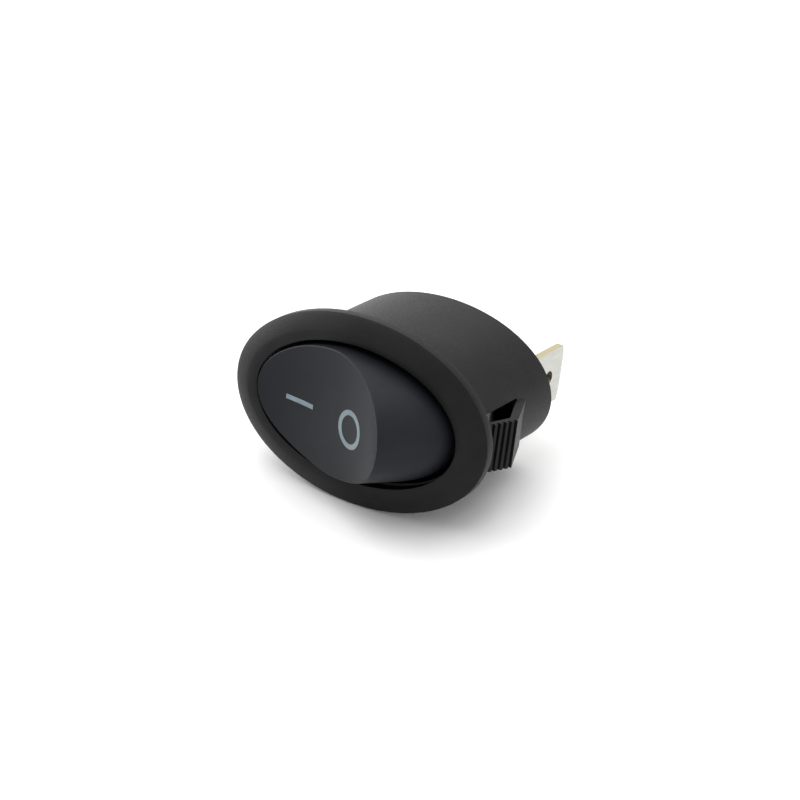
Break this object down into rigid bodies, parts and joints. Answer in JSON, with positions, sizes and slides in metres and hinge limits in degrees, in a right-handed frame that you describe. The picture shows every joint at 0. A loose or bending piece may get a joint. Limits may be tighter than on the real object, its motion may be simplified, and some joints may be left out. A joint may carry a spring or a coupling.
{
  "type": "panel rocker switch",
  "caption": "Oval snap-in panel rocker switch with a see-saw contact mechanism and blade terminals at the rear.",
  "frame": {"origin": "The centre of the panel seat: the plane of the bezel's back face, on the axis of the oval body.", "axes": "X along the oval, Z across it, -Y out of the panel towards the user and +Y to the rear, the way the terminals point."},
  "size_m": [0.03, 0.0335, 0.02],
  "materials": {
    "housing_plastic": "fine satin moulded nylon, charcoal black",
    "rocker_plastic": "smooth satin moulded plastic, charcoal black",
    "nylon": "natural moulded nylon",
    "spring_steel": "bright drawn wire",
    "brass_strip": "stamped strip, bare",
    "plated_blade": "silver-bright plating over stamped brass",
    "contact_silver": "silver alloy, satin"
  },
  "bodies": {
    "housing_body": {"housing": "housing_plastic", "common_terminal": "plated_blade", "load_terminal": "plated_blade", "fixed_contact": "contact_silver"},
    "rocker_body": {"rocker": "rocker_plastic", "spring": "spring_steel"},
    "plunger_body": {"plunger": "nylon"},
    "lever_body": {"contact_lever": "brass_strip", "moving_contact": "contact_silver"}
  },
  "joints": [
    {"name": "rocker_pivot", "type": "hinge", "parent": "housing_body", "child": "rocker_body", "pos_m": [0, 0.0018, 0], "axis": [0, 0, 1], "range_deg": [0, 37]},
    {"name": "plunger_slide", "type": "slide", "parent": "rocker_body", "child": "plunger_body", "axis": [-0.3173, -0.9483, 0], "range_m": [-0.0001, 0.0007], "stiffness_N_per_m": 100, "deforming": ["spring"]},
    {"name": "lever_rock", "type": "hinge", "parent": "housing_body", "child": "lever_body", "pos_m": [0, 0.0083, 0], "axis": [0, 0, 1], "range_deg": [-12, 0]}
  ],
  "couplings": [
    {"joint": "lever_rock", "follows": "rocker_pivot", "ratio": -0.32432}
  ]
}
